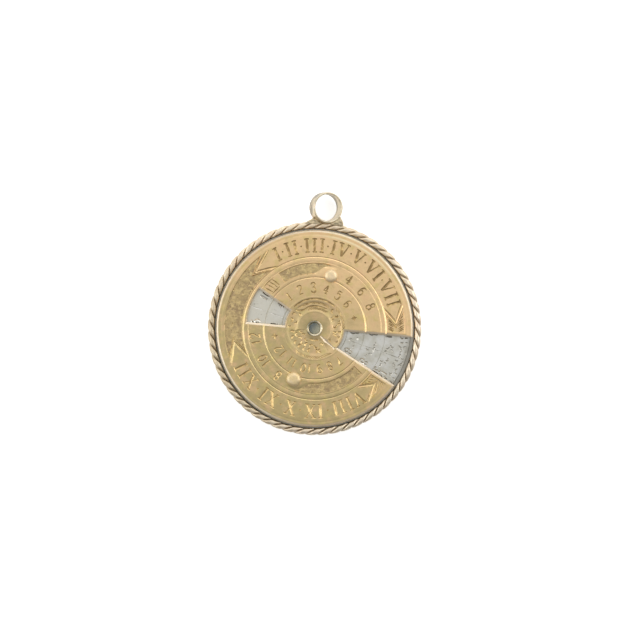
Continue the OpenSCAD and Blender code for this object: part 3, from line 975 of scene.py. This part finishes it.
# small turned pieces
def roundStud(name, centre, foot, node, body, front):
    base = plate["top"]
    tip = base + studs["high"]
    brow = tip - studs["bevel"]
    top, soft = foot - studs["wide"], studs["soft"]
    profile = [(0, base), (foot - soft, base), (foot, base + soft), (foot, brow - soft),
               (foot - soft, brow + 0.01), (top + 0.06, tip - soft), (top - 0.04, tip - 0.012),
               (top * 0.5, tip), (0, tip)]
    stud = turned(profile, 48, name, [studGold], closed=False)
    stud.data.transform(Matrix.Translation(centre))
    if not front:
        stud.data.transform(Matrix.Scale(-1, 4, (0, 0, 1)))
        stud.data.flip_normals()
    return finishPiece(stud, body, [node], 35)


for side, body in (("front", "front_disc"), ("back", "back_disc")):
    for place in ("upper", "lower"):
        node = side + "_stud_" + place
        low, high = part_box(node)
        middle = (Vector(low) + Vector(high)) / 2 / mm
        foot = (high[0] - low[0]) / 2 / mm
        roundStud(side + "Stud" + place.title(), (middle[0], middle[1], 0), foot, node, body, side == "front")

rivet = {"bore": 0.76, "shank": 0.92, "lip": 1.15, "under": 0.86, "over": 1.055}
rolled = []
for k in range(9):  # the lip falls gently into the bore
    turn = math.pi * k / 8
    share = (1 - math.cos(turn)) / 2
    rolled.append((rivet["bore"] + (rivet["lip"] - rivet["bore"]) * share ** 0.7,
                   rivet["under"] + (rivet["over"] - rivet["under"]) * math.sin(turn)))
shank = [(rivet["shank"], rivet["under"]), (rivet["shank"], -rivet["under"])]
profile = rolled + shank + [(r, -z) for r, z in rolled[::-1]]
finishPiece(turned(profile, 64, "pivotEyelet", [eyeletGold]), "case", ["pivot_eyelet"], 50)

low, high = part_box("case_band")
band = {
    "inner": 13.33, "outer": 13.93, "ledge": high[0] / mm, "low": low[2] / mm, "high": high[2] / mm,
    "ledgeTop": -0.55, "ledgeUnder": -0.80, "ledgeSoft": 0.05, "soft": 0.12, "halfway": 0.035,
}
inner, outer, ledge = band["inner"], band["outer"], band["ledge"]
bottom, soft, bend, halfway = band["low"], band["soft"], band["ledgeSoft"], band["halfway"]
profile = [
    (inner, band["high"]), (outer, band["high"]), (outer, band["ledgeTop"]),
    (ledge - bend, band["ledgeTop"]), (ledge, band["ledgeTop"] - bend),
    (ledge, band["ledgeUnder"] + bend), (ledge - bend, band["ledgeUnder"]), (outer, band["ledgeUnder"]),
    (outer, bottom + soft), (outer - halfway, bottom + halfway), (outer - soft, bottom),
    (inner + soft, bottom), (inner + halfway, bottom + halfway), (inner, bottom + soft),
]
finishPiece(turned(profile, 192, "caseBand", [gold]), "case", ["case_band"], 50)

bail = {"outer": 2.178, "inner": 1.88, "half": 1.05, "soft": 0.14, "turn": 19, "at": (0, 17.01, 0)}
profile = []
for wall, end, start in (("outer", 1, 0), ("inner", 1, 90), ("inner", -1, 180), ("outer", -1, 270)):
    r = bail[wall] + bail["soft"] * (-1 if wall == "outer" else 1)
    z = end * (bail["half"] - bail["soft"] * 1.4)
    for k in range(4):
        turn = math.radians(start + 30 * k)
        profile.append((r + bail["soft"] * math.cos(turn), z + bail["soft"] * 1.4 * math.sin(turn)))
ring = turned(profile, 72, "bailRing", [bailGold])
bailPlace = Matrix.Translation(bail["at"]) @ Matrix.Rotation(math.radians(bail["turn"]), 4, "Y")
ring.data.transform(bailPlace)
finishPiece(ring, "case", ["bail_ring"], 50)

shoulder = {"grain": 0.05, "rounds": 16, "lump": 0.42, "rise": 0.24, "level": 0.6, "foot": 14.5, "outer": 2.85,
            "wide": 1.42}


def solderedShoulder(name, node, side, tall):  # the shoulder's solid, run soft under the ring
    lump = linked(name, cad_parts[node].data.copy())
    lump.data.transform(Matrix.Scale(1 / mm, 4))
    grain = lump.modifiers.new("grain", "REMESH")
    grain.mode = "VOXEL"
    grain.voxel_size = shoulder["grain"]
    soften = lump.modifiers.new("soften", "SMOOTH")
    soften.iterations = shoulder["rounds"]
    uneven = lump.modifiers.new("uneven", "DISPLACE")
    uneven.texture = bpy.data.textures.new("solderLumps", "CLOUDS")
    uneven.texture.noise_scale = shoulder["lump"]
    uneven.strength = shoulder["rise"]
    uneven.mid_level = shoulder["level"]
    lump.data = baked(lump)
    lump.modifiers.clear()
    lump.data.materials.clear()
    lump.data.materials.append(solderGold)
    spread = Matrix.Diagonal((shoulder["wide"], tall, 1, 1))
    still = Vector((side * shoulder["outer"], shoulder["foot"], 0))
    lump.data.transform(Matrix.Translation(still) @ spread @ Matrix.Translation(-still))
    bm = bmesh.new()  # nothing of it shows inside the ring
    wall = (bail["outer"] + bail["inner"]) / 2
    bmesh.ops.create_cone(bm, cap_ends=True, segments=72, radius1=wall, radius2=wall, depth=bail["half"] * 3,
                          matrix=bailPlace)
    cut(lump, meshOf(bm, "ringRoom"), plain)
    return finishPiece(lump, "case", [node], 60)


solderedShoulder("shoulderLeft", "bail_shoulder_left", -1, 0.7)
solderedShoulder("shoulderRight", "bail_shoulder_right", 1, 1.1)
for node in ("front_washer", "back_washer"):
    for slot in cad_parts[node].material_slots:
        slot.material = gold
print("small pieces made")


# floor, light and camera
ground = {
    "size": 1.2, "colour": rgb(0.86, 0.86, 0.86), "glow": 0.45, "seen": 1.35,
    "bore": (rgb(0.04, 0.08, 0.10), rgb(0.34, 0.34, 0.24)), "boreLitWay": (0.6, -0.4, 0),
    "upperWay": (-0.02, 0.05, 0),
}


def paleFloor(look):
    f = Finish(bpy.data.materials.new("paleFloor"))
    diffuse = f.add("ShaderNodeBsdfDiffuse", {}, {"Color": look["colour"]})
    camera, glossy, through = (f.add("ShaderNodeLightPath", out=k) for k in (0, 3, 6))
    spot = f.place()
    # painted shade and light: under the fob the floor glows dark blue-grey towards the upper left and olive
    # towards the lower right, for the shaded and lit sides of the eyelet's bore
    bore = f.blend(f.fade(f.along(spot, look["boreLitWay"]), -0.4, 0.5), *look["bore"])
    white = f.blend(f.fade(f.outward(spot), 11.5, 13.5), bore, rgb(1, 1, 1))  # less in the bore
    upper = f.fade(f.along(spot, look["upperWay"]), -0.9, 0.5)  # a mirror sees less of it below the fob
    level = look["glow"] * (camera * look["seen"] + upper * (1 - camera))
    glow = f.add("ShaderNodeEmission", {}, {"Color": f.scaled(white, level), "Strength": 1})
    lit = f.add("ShaderNodeAddShader", {}, {0: diffuse, 1: glow})
    both = f.add("ShaderNodeMixShader", {}, {0: camera + glossy + through, 1: diffuse, 2: lit})
    f.add("ShaderNodeOutputMaterial", {}, {"Surface": both})
    return f.owner


bm = bmesh.new()
bmesh.ops.create_grid(bm, x_segments=2, y_segments=2, size=ground["size"] / 2,
                      matrix=Matrix.Translation((0, 0, cadBox[0][2])))
floor = meshOf(bm, "floor")
floor.data.materials.append(paleFloor(ground))

studio = {
    "stops": [(0.0, 0.40), (0.25, 0.70), (0.55, 0.86), (0.82, 0.84), (1.0, 0.72)],  # from level to overhead
    "slope": (-0.1, 0.9, 0), "least": 0.4,
}


def studioLight(look):  # dimmer overhead, where the camera hangs, and brighter towards the bail
    f = Finish(bpy.data.worlds.new("studio"))
    way = f.add("ShaderNodeTexCoord")
    up = f.add("ShaderNodeSeparateXYZ", {}, {0: way}, out=2)
    level = f.add("ShaderNodeValToRGB", {"stops": [(at, (value,) * 3) for at, value in look["stops"]]}, {0: up})
    share = look["least"] + f.fade(f.along(way, look["slope"]), -0.6, 0.1) * (1 - look["least"])
    shade = f.add("ShaderNodeBackground", {}, {"Color": f.scaled(level, share), "Strength": 1})
    f.add("ShaderNodeOutputWorld", {}, {"Surface": shade})
    return f.owner


bpy.context.scene.world = studioLight(studio)

lamps = [  # name, place, watts, width and height
    ("topSoftbox", (0.06, 0.36, 0.26), 0.27, 0.52, 0.20),
    ("leftSoftbox", (-0.36, -0.01, 0.28), 0.40, 0.24, 0.34),
    ("rightSoftbox", (0.35, 0.10, 0.28), 0.34, 0.24, 0.30),
]
for name, place, watts, width, tall in lamps:
    light = bpy.data.lights.new(name, "AREA")
    light.shape = "RECTANGLE"
    light.size = width
    light.size_y = tall
    light.energy = watts
    lamp = linked(name, light)
    lamp.location = place
    lamp.rotation_euler = (-Vector(place)).to_track_quat("-Z", "Y").to_euler()

photo = {"lean": 5.4, "pixel": 0.14, "centre": (5.4, 8.4), "high": 0.35, "frame": 640}
camera = bpy.data.cameras.new("camera")
camera.sensor_width = 36
camera.lens = camera.sensor_width * photo["high"] / (photo["frame"] * photo["pixel"] * mm)
camera.clip_start = 0.01
eye = linked("camera", camera)
spin = Matrix.Rotation(math.radians(photo["lean"]), 4, "Z")
centre = Vector((*photo["centre"], 0)) * photo["pixel"] * mm
eye.matrix_world = spin @ Matrix.Translation((centre[0], centre[1], photo["high"] + plate["top"] * mm))
bpy.context.scene.camera = eye
bpy.context.scene.view_settings.view_transform = "Standard"
print("floor, light and camera set")
